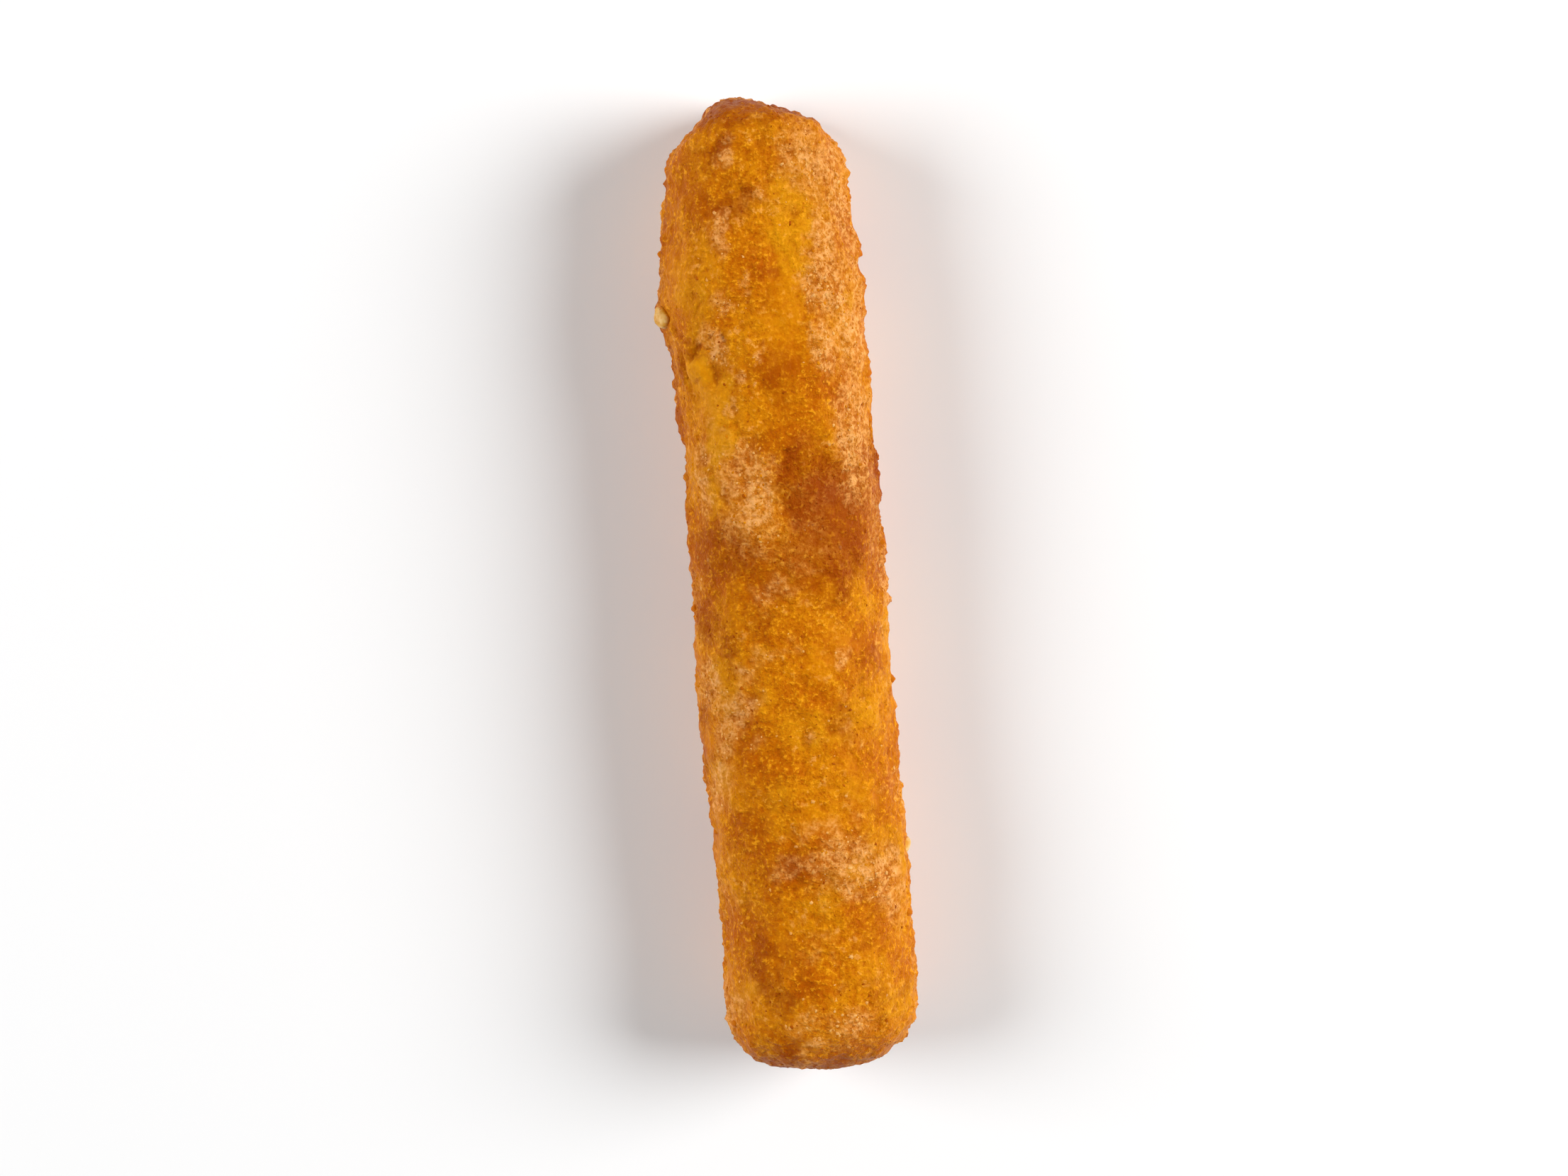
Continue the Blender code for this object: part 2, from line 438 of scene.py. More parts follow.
def add_piece(name: str, data: bpy.types.ID) -> bpy.types.Object:
    """Puts a mesh, lamp or camera in the scene.

    Args:
        name: The new object's name.
        data: What it shows.

    Returns:
        The object.
    """
    piece = bpy.data.objects.new(name, data)
    bpy.context.scene.collection.objects.link(piece)
    return piece


def mesh_from(name: str, shape: bmesh.types.BMesh, *finishes: bpy.types.Material) -> bpy.types.Mesh:
    """Makes a mesh of a finished shape, and frees the shape.

    Args:
        name: The mesh's name.
        shape: The shape.
        *finishes: Its materials, in the order of its material indices.

    Returns:
        The mesh.
    """
    mesh = bpy.data.meshes.new(name)
    shape.to_mesh(mesh)
    shape.free()
    for finish in finishes:
        mesh.materials.append(finish)
    return mesh


def stand_on(shape: bmesh.types.BMesh, verts: list, point: Vector, outward: Vector) -> None:
    """Turns a form's own Z axis outwards and sets its origin on a point of the crust."""
    turn = outward.to_track_quat("Z", "Y").to_matrix().to_4x4()
    bmesh.ops.transform(shape, matrix=Matrix.Translation(point) @ turn, verts=verts)


def hand_over(piece: bpy.types.Object) -> None:
    """Ties a finished piece to its body, and logs how many triangles it has.

    Args:
        piece: The piece, whose mesh is plain.
    """
    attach(piece, BODY)
    piece.data.calc_loop_triangles()
    LOG.info("%s: %d triangles", piece.name, len(piece.data.loop_triangles))


class Recipe:
    """A Geometry Nodes tree with named inputs that makes one plain mesh."""

    def __init__(self, name: str, inputs: dict[str, float]) -> None:
        """Starts the tree with its interface.

        Args:
            name: The tree's name.
            inputs: The name and value of each number that it takes.
        """
        self.tree = bpy.data.node_groups.new(name, "GeometryNodeTree")
        self.book = NodeBook(self.tree)
        face = self.tree.interface
        face.new_socket("Geometry", in_out="INPUT", socket_type="NodeSocketGeometry")
        face.new_socket("Geometry", in_out="OUTPUT", socket_type="NodeSocketGeometry")
        self.given: dict[str, float] = {}
        for title, value in inputs.items():
            kind = "NodeSocketInt" if isinstance(value, int) else "NodeSocketFloat"
            socket = face.new_socket(title, in_out="INPUT", socket_type=kind)
            self.given[socket.identifier] = value
        self.start = self.tree.nodes.new("NodeGroupInput")

    def input(self, title: str) -> Wire:
        """The wire from one of the tree's named inputs."""
        return Wire(self.book, self.start.outputs[title])

    def place(self) -> Wire:
        """Where each point is, in metres."""
        return self.book.add("GeometryNodeInputPosition")

    def read(self, attribute: str) -> Wire:
        """A number stored on the geometry, at each point."""
        settings = {"data_type": "FLOAT"}
        return self.book.add("GeometryNodeInputNamedAttribute", settings, {"Name": attribute}, "Attribute")

    def store(self, geometry: Wire, attribute: str, value: Wire) -> Wire:
        """Stores a number at each point of the geometry.

        Args:
            geometry: The geometry.
            attribute: The attribute's name.
            value: The number.

        Returns:
            The geometry with the attribute.
        """
        settings = {"data_type": "FLOAT", "domain": "POINT"}
        values = {"Geometry": geometry, "Name": attribute, "Value": value}
        return self.book.add("GeometryNodeStoreNamedAttribute", settings, values)

    def moved(self, geometry: Wire, way: str, vector: Wire) -> Wire:
        """The geometry with its points moved by an "Offset" or to a "Position"."""
        return self.book.add("GeometryNodeSetPosition", None, {"Geometry": geometry, way: vector})

    def end(self, geometry: Wire, material: bpy.types.Material) -> None:
        """Closes the tree: instances realized, smooth shaded, with one material.

        Args:
            geometry: The finished geometry.
            material: Its material.
        """
        for kind in ("GeometryNodeRealizeInstances", "GeometryNodeSetShadeSmooth"):
            geometry = self.book.add(kind, None, {"Geometry": geometry})
        values = {"Geometry": geometry, "Material": material}
        geometry = self.book.add("GeometryNodeSetMaterial", None, values)
        out = self.tree.nodes.new("NodeGroupOutput")
        self.book.feed(out.inputs["Geometry"], geometry)

    def run(self, name: str, source: bpy.types.Mesh) -> bpy.types.Object:
        """Runs the tree on a mesh.

        Args:
            name: The new piece's name.
            source: The mesh to start from.

        Returns:
            A new object whose mesh is plain.
        """
        piece = add_piece(name, source.copy())
        modifier = piece.modifiers.new(name, "NODES")
        modifier.node_group = self.tree
        for identifier, value in self.given.items():
            modifier[identifier] = value
        graph = bpy.context.evaluated_depsgraph_get()
        made = bpy.data.meshes.new_from_object(
            piece.evaluated_get(graph), preserve_all_data_layers=True, depsgraph=graph
        )
        made.name = name
        piece.modifiers.remove(modifier)
        piece.data = made
        return piece


OIL_TINT = (1.0, 0.62, 0.14, 1.0)
OIL_GLOSS = 0.11
FAT_DEPTH = (1.0, 0.40, 0.10)


class FinishBook(NodeBook):
    """Builds one material on its Principled shader."""

    def __init__(self, name: str) -> None:
        """Starts the material.

        Args:
            name: The material's name.
        """
        self.material = bpy.data.materials.new(name)
        self.material.use_nodes = True
        super().__init__(self.material.node_tree)
        self.shader = self.tree.nodes["Principled BSDF"]

    def place(self) -> Wire:
        """The coordinates in metres."""
        return self.add("ShaderNodeTexCoord", out="Object")

    def attribute(self, name: str) -> Wire:
        """A number stored on the mesh."""
        return self.add("ShaderNodeAttribute", {"attribute_name": name}, None, "Fac")

    def coat(self, colour: Wire, roughness: Wire, relief: Wire, height: float) -> None:
        """Gives the shader what varies over the surface.

        Args:
            colour: The base colour.
            roughness: The roughness.
            relief: The fine relief, in shares of its height.
            height: That height, in metres.
        """
        self.feed(self.shader.inputs["Base Color"], colour)
        self.feed(self.shader.inputs["Roughness"], roughness)
        values = {"Strength": 1.0, "Distance": height, "Height": relief}
        self.feed(self.shader.inputs["Normal"], self.add("ShaderNodeBump", None, values))

    def oily(self, depth: float, share: float) -> bpy.types.Material:
        """Gives the shader the warm gloss and soft depth of batter soaked in oil.

        Args:
            depth: How deep light goes in, in metres.
            share: How much of the light that is.

        Returns:
            The finished material.
        """
        inputs = self.shader.inputs
        inputs["Specular IOR Level"].default_value = OIL_GLOSS
        inputs["Specular Tint"].default_value = OIL_TINT
        inputs["Subsurface Weight"].default_value = share
        inputs["Subsurface Radius"].default_value = FAT_DEPTH
        inputs["Subsurface Scale"].default_value = depth
        return self.material


@dataclass(frozen=True)
class CrustFinish:
    """Golden fried batter: oily, grainy, browned in patches, pale where it is rough, with painted shade
    and highlights.
    """

    amber: Colour = from_screen(184, 90, 2)
    golden: Colour = from_screen(218, 136, 8)
    honey: Colour = from_screen(222, 148, 12)
    chestnut: Colour = from_screen(146, 57, 2)
    # The next colour is painted shade, laid in the crust's hollows and creases.
    pit: Colour = from_screen(168, 80, 2)
    # The next colour is a painted glint, laid on the crests of the grain.
    painted_glint: Colour = from_screen(246, 164, 26)
    # The next two colours are partly pale, dry batter and partly painted sheen and highlights.
    peach_and_sheen: Colour = from_screen(238, 165, 88)
    cream_and_highlight: Colour = from_screen(252, 186, 118)
    broad_size: float = 5.5 * MM
    middle_size: float = 1.8 * MM
    spot_size: float = 0.9 * MM
    fine_size: float = 0.50 * MM
    sand_size: float = 0.24 * MM
    grit_height: float = 0.40 * MM
    soft_depth: float = 1.2 * MM
    soft_share: float = 0.12

    def material(self) -> bpy.types.Material:
        """Builds the finish.

        Returns:
            The material.
        """
        book = FinishBook("fried_crust")
        place = book.place()
        tone = {t: book.attribute(t.value) for t in Tone}
        relief = book.attribute(RELIEF)
        broad = book.cloud(place, self.broad_size, 2)
        middle = book.cloud(place, self.middle_size, 3, 0.6)
        spots = book.cloud(place, self.spot_size, 1, 0.5)
        fine = book.cloud(place, self.fine_size, 3, 0.6)
        sand = book.cloud(place, self.sand_size, 1, 0.5)
        rough = 1 - tone[Tone.SMOOTH] * 0.6

        grit = fine * 0.7 + sand * 0.3
        low = middle * 0.35 + broad * 0.65
        # The tone varies at random, and also with the height of the fine grain: lighter on its crests and
        # darker in its hollows, which is painted light and shade.
        golden = (0.5 + (low - 0.5) * 0.9 + (grit - 0.5) * (0.3 + rough * 0.5)).ramp(0.28, 0.72)
        colour = book.mix_colour(golden, self.amber, self.golden)
        honey = (tone[Tone.HONEY] * (golden * 0.5 + 0.5)).share()
        colour = book.mix_colour(honey, colour, self.honey)
        # Chestnut where the brown tone is, more of it in the grain's hollows: browning, and painted shade
        # in those hollows and in the brown patches that are shade.
        brown = (tone[Tone.BROWN] * (low * 0.4 + grit * 0.6).ramp(0.36, 0.66, 1.0, 0.55)).share()
        colour = book.mix_colour(brown, colour, self.chestnut)
        clean = rough * (1 - tone[Tone.HONEY] * 0.6)
        # Painted shade: darker in the relief's hollows and creases, and in the low spots of the grain.
        hollow_shade = relief.ramp(0.05, 0.42, 0.6, 0.0) + grit.ramp(0.34, 0.46, 0.35, 0.0) * clean
        colour = book.mix_colour(hollow_shade.share(), colour, self.pit)
        plain = (1 - tone[Tone.PALE] * 0.5 - tone[Tone.BROWN] * 0.75).at_least(0.0)
        # Painted glints: a bright golden highlight colour on the crests of the grain, less of it on the
        # pale and brown patches.
        painted_glint_share = grit.ramp(0.54, 0.65, 0.0, 0.7) * plain
        colour = book.mix_colour((painted_glint_share * rough).share(), colour, self.painted_glint)
        # Light flecks where the spots and the grain rise: partly pale crumbs, partly painted highlights.
        fleck = (spots * 0.5 + grit * 0.5).ramp(0.55, 0.66, 0.0, 0.5) * broad.ramp(0.46, 0.60)
        colour = book.mix_colour((fleck * plain * rough).share(), colour, self.peach_and_sheen)
        # Pale lace over the pale patches: dry batter, and on the +X side, which the brighter lamp lights,
        # partly painted sheen.
        clot = grit * 0.75 + spots * 0.25
        lace = clot.ramp(0.42, 0.58)
        pale = (tone[Tone.PALE] * (0.15 + lace * 0.8) * middle.ramp(0.32, 0.54, 0.45, 1.1)).share()
        colour = book.mix_colour(pale, colour, self.peach_and_sheen)
        # The palest colour on the crests of the pale lace: partly pale batter, partly painted highlights.
        top = clot.ramp(0.53, 0.66) * tone[Tone.PALE]
        colour = book.mix_colour((top * 0.6).share(), colour, self.cream_and_highlight)

        gloss = 0.40 + middle * 0.16 + tone[Tone.PALE] * 0.08 - tone[Tone.SMOOTH] * 0.04
        height = (fine * 0.75 + sand * 0.28) * (rough + tone[Tone.PALE] * 0.4)
        book.coat(colour, gloss, height, self.grit_height)
        return book.oily(self.soft_depth, self.soft_share)


@dataclass(frozen=True)
class CrumbFinish:
    """One kind of crumb, between a dark and a light tone, browned where the crust's brown tone is, which
    is partly painted shade.
    """

    name: str
    dark: Colour
    light: Colour
    roughness: float = 0.5
    mottle_size: float = 0.3 * MM
    mottle_height: float = 0.05 * MM
    soft_depth: float = 0.8 * MM
    soft_share: float = 0.15

    def material(self) -> bpy.types.Material:
        """Builds the finish.

        Returns:
            The material.
        """
        book = FinishBook(self.name)
        tint, brown = book.attribute(TINT), book.attribute(Tone.BROWN.value)
        mottle = book.cloud(book.place(), self.mottle_size, 2, 0.6)
        colour = book.mix_colour((tint * 0.7 + mottle * 0.4).share(), self.dark, self.light)
        colour = book.mix_colour((brown * 0.85).share(), colour, CrustFinish().chestnut)
        gloss = self.roughness + (mottle - 0.5) * 0.3
        book.coat(colour, gloss, mottle, self.mottle_height)
        return book.oily(self.soft_depth, self.soft_share)


@dataclass(frozen=True)
class BubbleFinish:
    """Thin pale blown-up batter, with the gold showing through."""

    skin: Colour = from_screen(234, 192, 124)
    through: Colour = from_screen(216, 154, 56)
    dimple_shade: Colour = from_screen(182, 118, 46)
    foot: Colour = from_screen(206, 126, 12)
    cloud_size: float = 0.9 * MM
    fine_size: float = 0.25 * MM
    skin_height: float = 0.06 * MM
    soft_depth: float = 0.8 * MM
    soft_share: float = 0.35

    def material(self) -> bpy.types.Material:
        """Builds the finish.

        Returns:
            The material.
        """
        book = FinishBook("batter_bubble")
        place = book.place()
        cloud = book.cloud(place, self.cloud_size, 3)
        fine = book.cloud(place, self.fine_size, 2)
        colour = book.mix_colour(cloud.ramp(0.35, 0.65), self.through, self.skin)
        # Painted shade: a darker colour in the dimples, the lowest spots of the skin's relief.
        colour = book.mix_colour(fine.ramp(0.26, 0.36, 0.8, 0.0), colour, self.dimple_shade)
        climb = book.attribute(TINT) + (cloud - 0.5) * 0.5
        colour = book.mix_colour(climb.ramp(0.0, 0.5, 1.0, 0.0), colour, self.foot)
        book.coat(colour, 0.26 + fine * 0.2, fine + cloud, self.skin_height)
        return book.oily(self.soft_depth, self.soft_share)


@dataclass
class Crust:
    """The whole skin of the stick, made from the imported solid's own surface."""

    levels: int = 2
    merge_gap: float = 1e-6
    pair_angle: float = 75.0
    sink: float = 0.10 * MM
    lump_size: float = 1.9 * MM
    lump_height: float = 0.34 * MM
    grain_size: float = 0.80 * MM
    grain_height: float = 0.19 * MM
    speck_size: float = 0.55 * MM
    pit_size: float = 1.6 * MM
    pit_depth: float = 0.06 * MM
    sway_size: float = 1.2 * MM
    sway: float = 0.5 * MM
    relief_span: float = 0.5 * MM
    wander: float = 1.5
    wander_size: float = 3.2 * MM
    strays_apart: float = 50 * MM
    drift_size: float = 7 * MM
    drift_shown: float = 0.12
    noises_apart: float = 40 * MM
    edge_gain: float = 0.9
    edge_angles: tuple[float, float] = (60, 85)
    back_angles: tuple[float, float] = (75, 100)
    hidden_run: tuple[float, float] = (42.0, 47.0)
    foot_run: tuple[float, float] = (86, 91)
    foot_brown: float = 0.6
    radius: float = 9.3

    def cage(self) -> bpy.types.Mesh:
        """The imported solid's triangles, merged and paired into four-sided faces.

        Returns:
            A new mesh.
        """
        shape = bmesh.new()
        shape.from_mesh(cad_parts[NODE].data)
        bmesh.ops.remove_doubles(shape, verts=shape.verts, dist=self.merge_gap)
        limit = math.radians(self.pair_angle)
        bmesh.ops.join_triangles(
            shape, faces=shape.faces, angle_face_threshold=limit, angle_shape_threshold=limit
        )
        return mesh_from("crust_cage", shape)

    def spread(self, recipe: Recipe) -> tuple[Wire, Wire]:
        """Each point's place on the unrolled crust.

        Args:
            recipe: The tree.

        Returns:
            Degrees round from the top line, and millimetres from the head's tip.
        """
        book = recipe.book
        low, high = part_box(NODE)
        across, along, up = book.parts(recipe.place())
        turned = book.maths("ARCTAN2", across, up - (low.z + high.z) / 2) * math.degrees(1)
        return turned, (high.y - along) / MM

    def wander_by(self, recipe: Recipe, turned: Wire, down: Wire) -> tuple[Wire, Wire]:
        """The unrolled place, strayed a little so that patches get ragged borders.

        Args:
            recipe: The tree.
            turned: Degrees round.
            down: Millimetres from the head.

        Returns:
            The same two, strayed.
        """
        strays = []
        for offset in (0.0, self.strays_apart):
            shifted = recipe.book.vector_maths("ADD", recipe.place(), (offset, 0.0, 0.0))
            slow = recipe.book.cloud(shifted, self.wander_size, 4, 0.8)
            strays.append((slow - 0.5) * (self.wander * 4))
        return turned + strays[0] * math.degrees(1 / self.radius), down + strays[1]

    def painted(self, tone: Tone, turned: Wire, down: Wire) -> Wire:
        """The named patches of one tone, added up.

        Args:
            tone: The tone.
            turned: Degrees round, strayed.
            down: Millimetres from the head, strayed.

        Returns:
            Its strength at each point.
        """
        total: Number = 0.0
        for patch in PATCHES[tone]:
            side = (turned - patch.angle) / patch.wide
            run = (down - patch.from_head) / patch.long
            total = (side * side + run * run).ramp(0.05, 1.5, patch.strength, 0.0) + total
        return total

    def tones(self, recipe: Recipe, turned: Wire, down: Wire) -> dict[Tone, Wire]:
        """Every tone at each point: named patches on the shown side, and drifts of noise elsewhere.

        Args:
            recipe: The tree.
            turned: Degrees round.
            down: Millimetres from the head.

        Returns:
            The strength of each tone.
        """
        book, place = recipe.book, recipe.place()
        strayed = self.wander_by(recipe, turned, down)
        unseen = down.ramp(*self.hidden_run).at_least(abs(turned).ramp(*self.back_angles))
        amount = self.drift_shown + unseen * (1 - self.drift_shown)
        found = {}
        for turn, (tone, (start, end, strength)) in enumerate(DRIFTS.items(), 1):
            shifted = book.vector_maths("ADD", place, (0.0, 0.0, turn * self.noises_apart))
            drift = book.cloud(shifted, self.drift_size, 3, 0.6).ramp(start, end, 0.0, strength)
            found[tone] = self.painted(tone, *strayed) + drift * amount
        found[Tone.BROWN] = found[Tone.BROWN] + down.ramp(*self.foot_run, 0.0, self.foot_brown)
        return {tone: value.share() for tone, value in found.items()}

    def domes(self, turned: Wire, down: Wire) -> Wire:
        """The rise of the named swellings, in metres.

        Args:
            turned: Degrees round.
            down: Millimetres from the head.

        Returns:
            The rise.
        """
        total: Number = 0.0
        for dome in DOMES:
            side = (turned - dome.angle) * (math.radians(self.radius) / dome.radius)
            run = (down - dome.from_head) / dome.radius
            total = (side * side + run * run).ramp(0.3, 1.3, dome.height * MM, 0.0) + total
        return total

    def creases(self, turned: Wire, down: Wire) -> Wire:
        """The depth of the named furrows, in metres.

        Args:
            turned: Degrees round.
            down: Millimetres from the head.

        Returns:
            The depth.
        """
        total: Number = 0.0
        reach = math.radians(self.radius)
        for crease in CREASES:
            (angle, start), (end_angle, end) = crease.start, crease.end
            across, along = (end_angle - angle) * reach, end - start
            length = across * across + along * along
            side, run = (turned - angle) * reach, down - start
            part = ((side * across + run * along) / length).share()
            off_side, off_run = side - part * across, run - part * along
            off = (off_side * off_side + off_run * off_run) / (crease.width * crease.width)
            total = off.ramp(0.0, 1.5, crease.depth * MM, 0.0) + total
        return total

    def relief(self, recipe: Recipe, tones: dict[Tone, Wire]) -> Wire:
        """The height of the crust's grain: packed crumbs over lumps, with pits.

        Args:
            recipe: The tree.
            tones: The strength of each tone.

        Returns:
            The rise, in metres.
        """
        book, place = recipe.book, recipe.place()
        values = {"Vector": place, "Scale": 1 / self.sway_size, "Detail": 1.0}
        bend = book.add("ShaderNodeTexNoise", None, values, "Color")
        swayed = book.vector_maths("MULTIPLY_ADD", bend, (self.sway,) * 3, place)
        lump = book.cloud(place, self.lump_size, 2, 0.5) - 0.5
        grain = 1 - book.cells(swayed, self.grain_size, soft=0.25) * 1.5
        speck = book.cloud(place, self.speck_size, 1, 0.5) - 0.5
        pit = book.cells(swayed, self.pit_size).ramp(0.10, 0.26, 1.0, 0.0)
        rough = 0.7 + tones[Tone.PALE] * 0.5 - tones[Tone.SMOOTH] * 0.55
        height = (grain - 0.4) * recipe.input("Grain height") + speck * recipe.input("Grain height")
        height = height * rough - pit * rough * recipe.input("Pit depth")
        return height + lump * 2 * recipe.input("Lump height")

    def build(self, material: bpy.types.Material) -> bpy.types.Object:
        """Makes the crust.

        Args:
            material: Its finish.

        Returns:
            The piece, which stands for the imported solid.
        """
        inputs = {
            "Level": self.levels,
            "Sink": self.sink,
            "Lump height": self.lump_height,
            "Grain height": self.grain_height,
            "Pit depth": self.pit_depth,
        }
        recipe = Recipe("crust", inputs)
        book = recipe.book
        values = {"Mesh": recipe.input("Geometry"), "Level": recipe.input("Level")}
        mesh = book.add("GeometryNodeSubdivisionSurface", None, values)
        turned, down = self.spread(recipe)
        tones = self.tones(recipe, turned, down)
        grain = self.relief(recipe, tones)
        for tone, value in tones.items():
            mesh = recipe.store(mesh, tone.value, value)
        creased = grain - self.creases(turned, down)
        mesh = recipe.store(mesh, RELIEF, (creased / self.relief_span + 0.5).share())
        edge = abs(turned).ramp(*self.edge_angles, 0.0, self.edge_gain)
        rise = creased + edge * grain + self.domes(turned, down) - recipe.input("Sink")
        normal = book.add("GeometryNodeInputNormal")
        mesh = recipe.moved(mesh, "Offset", book.vector_maths("SCALE", normal, rise))
        recipe.end(self.rest_flat(recipe, mesh), material)
        crust = recipe.run("crust", self.cage())
        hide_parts(NODE)
        hand_over(crust)
        return crust

    @staticmethod
    def rest_flat(recipe: Recipe, mesh: Wire) -> Wire:
        """The roughened crust with nothing below the surface that the stick lies on."""
        kept = recipe.book.vector_maths("MAXIMUM", recipe.place(), (-1.0, -1.0, 0.0))
        return recipe.moved(mesh, "Position", kept)


@dataclass
class CrumbCoat:
    """Crumbs of one kind, scattered over the crust and half sunk in it."""

    name: str
    finish: CrumbFinish
    seed: int
    per_square_mm: float
    smallest: float
    largest: float
    on_pale: float = 0.0
    on_brown: float = 0.0
    on_smooth: float = 0.2
    thick: float = 0.60
    sunk: float = 0.15
    kinds: int = 5
    narrow: tuple[float, float] = (0.65, 1.1)
    ragged: tuple[float, float, float] = (1.1, 1.1, 0.8)
    clump_size: float = 2.6 * MM
    floor_gap: tuple[float, float] = (0.5 * MM, 1.7 * MM)

    def crumb(self, recipe: Recipe, kind: int) -> Wire:
        """One ragged crumb, about 1 across, with twenty faces.

        Args:
            recipe: The tree.
            kind: Which of the shapes it is.

        Returns:
            The crumb, as an instance.
        """
        book = recipe.book
        ball = book.add("GeometryNodeMeshIcoSphere", None, {"Radius": 0.5, "Subdivisions": 1})
        shifted = book.vector_maths("ADD", recipe.place(), (3.1 * kind, 1.7 * self.seed, 0.0))
        wobble = book.add("ShaderNodeTexNoise", None, {"Vector": shifted, "Scale": 1.6}, "Color")
        shape = book.vector_maths("MULTIPLY_ADD", wobble, self.ragged, recipe.place())
        centred = book.vector_maths("SUBTRACT", shape, tuple(part / 2 for part in self.ragged))
        crumb = recipe.moved(ball, "Position", centred)
        return book.add("GeometryNodeGeometryToInstance", None, {"Geometry": crumb})

    def density(self, recipe: Recipe) -> Wire:
        """How thickly the crumbs lie, in clumps and with none close to the floor.

        Args:
            recipe: The tree.

        Returns:
            The number for each square metre.
        """
        book, place = recipe.book, recipe.place()
        pale, brown = recipe.read(Tone.PALE.value), recipe.read(Tone.BROWN.value)
        smooth = recipe.read(Tone.SMOOTH.value)
        clear = book.parts(place)[2].ramp(*self.floor_gap)
        liking = (1 + pale * self.on_pale + brown * self.on_brown).at_least(0.0)
        clump = book.cloud(place, self.clump_size, 2, 0.6).ramp(0.35, 0.6, 0.25, 1.3)
        share = liking * clump * clear * (1 - smooth * (1 - self.on_smooth))
        return share * recipe.input("Crumbs per square mm") / (MM * MM)

    def build(self, crust: bpy.types.Object) -> None:
        """Scatters the crumbs, all as one piece.

        Args:
            crust: The finished crust.
        """
        inputs = {
            "Crumbs per square mm": self.per_square_mm,
            "Smallest": self.smallest,
            "Largest": self.largest,
            "Seed": self.seed,
        }
        recipe = Recipe(self.name, inputs)
        book = recipe.book
        values = {
            "Mesh": recipe.input("Geometry"),
            "Density": self.density(recipe),
            "Seed": recipe.input("Seed"),
        }
        scatter = book.add("GeometryNodeDistributePointsOnFaces", None, values, "Points")
        found = scatter.socket.node.outputs
        points = recipe.store(scatter, TINT, self.chance(recipe, 0.0, 1.0, 1))
        turn = book.add("ShaderNodeCombineXYZ", None, {2: self.chance(recipe, 0.0, math.tau, 2)})
        spin = book.add("FunctionNodeEulerToRotation", None, {0: turn})
        values = {"Rotation": Wire(book, found["Rotation"]), "Rotate By": spin}
        turned = book.add("FunctionNodeRotateRotation", {"rotation_space": "LOCAL"}, values)
        luck = self.chance(recipe, 0.0, 1.0, 3)
        span = recipe.input("Largest") - recipe.input("Smallest")
        size = recipe.input("Smallest") + span * luck * luck
        narrow = self.chance(recipe, *self.narrow, 4)
        grown = book.add("ShaderNodeCombineXYZ", None, {0: size, 1: size * narrow, 2: size * self.thick})
        lowered = book.vector_maths("SCALE", Wire(book, found["Normal"]), size * -self.sunk)
        shapes = self.joined(recipe, [self.crumb(recipe, kind) for kind in range(self.kinds)])
        values = {
            "Points": recipe.moved(points, "Offset", lowered),
            "Instance": shapes,
            "Pick Instance": True,
            "Rotation": turned,
            "Scale": grown,
        }
        crumbs = book.add("GeometryNodeInstanceOnPoints", None, values)
        recipe.end(crumbs, self.finish.material())
        hand_over(recipe.run(self.name, crust.data))

    @staticmethod
    def joined(recipe: Recipe, shapes: Sequence[Wire]) -> Wire:
        """Several geometries as one.

        Args:
            recipe: The tree.
            shapes: The geometries.

        Returns:
            The joined geometry.
        """
        join = recipe.book.tree.nodes.new("GeometryNodeJoinGeometry")
        for shape in shapes:
            recipe.book.tree.links.new(shape.socket, join.inputs[0])
        return Wire(recipe.book, join.outputs[0])

    @staticmethod
    def chance(recipe: Recipe, low: float, high: float, draw: int) -> Wire:
        """A random number for each point.

        Args:
            recipe: The tree.
            low: The least that it can be.
            high: The most.
            draw: Tells this draw from the others.

        Returns:
            The number.
        """
        seed = recipe.input("Seed") * 10 + draw
        values = {"Min_001": low, "Max_001": high, "Seed": seed}
        return recipe.book.add("FunctionNodeRandomValue", {"data_type": "FLOAT"}, values, "Value_001")


class CrustMap:
    """Finds places on the finished crust."""

    inside: float = 8 * MM

    def __init__(self, crust: bpy.types.Object) -> None:
        """Reads the crust's faces.

        Args:
            crust: The finished crust.
        """
        mesh = crust.data
        faces = [tuple(face.vertices) for face in mesh.polygons]
        self.tree = BVHTree.FromPolygons([vertex.co for vertex in mesh.vertices], faces)
        low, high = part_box(NODE)
        self.tip = high.y
        self.middle = (low.z + high.z) / 2

    def hit(self, start: Vector, outward: Vector) -> tuple[Vector, Vector]:
        """Where a line from inside the stick comes out, and the way that the crust faces there."""
        point, normal, _, _ = self.tree.ray_cast(start, outward)
        return point, normal if normal.dot(outward) > 0 else -normal

    def at(self, angle: float, from_head: float) -> tuple[Vector, Vector]:
        """A place on the crust and the way that it faces.

        Args:
            angle: Degrees from the top line.
            from_head: Millimetres from the head's tip.

        Returns:
            The point and the outward direction.
        """
        turn = math.radians(angle)
        outward = Vector((math.sin(turn), 0.0, math.cos(turn)))
        return self.hit(Vector((0.0, self.tip - from_head * MM, self.middle)), outward)

    def tip_at(self, across: float, up: float) -> tuple[Vector, Vector]:
        """A place on the head's end face, in millimetres towards +X and above the floor."""
        start = Vector((across * MM, self.tip - self.inside, up * MM))
        return self.hit(start, Vector((0.0, 1.0, 0.0)))


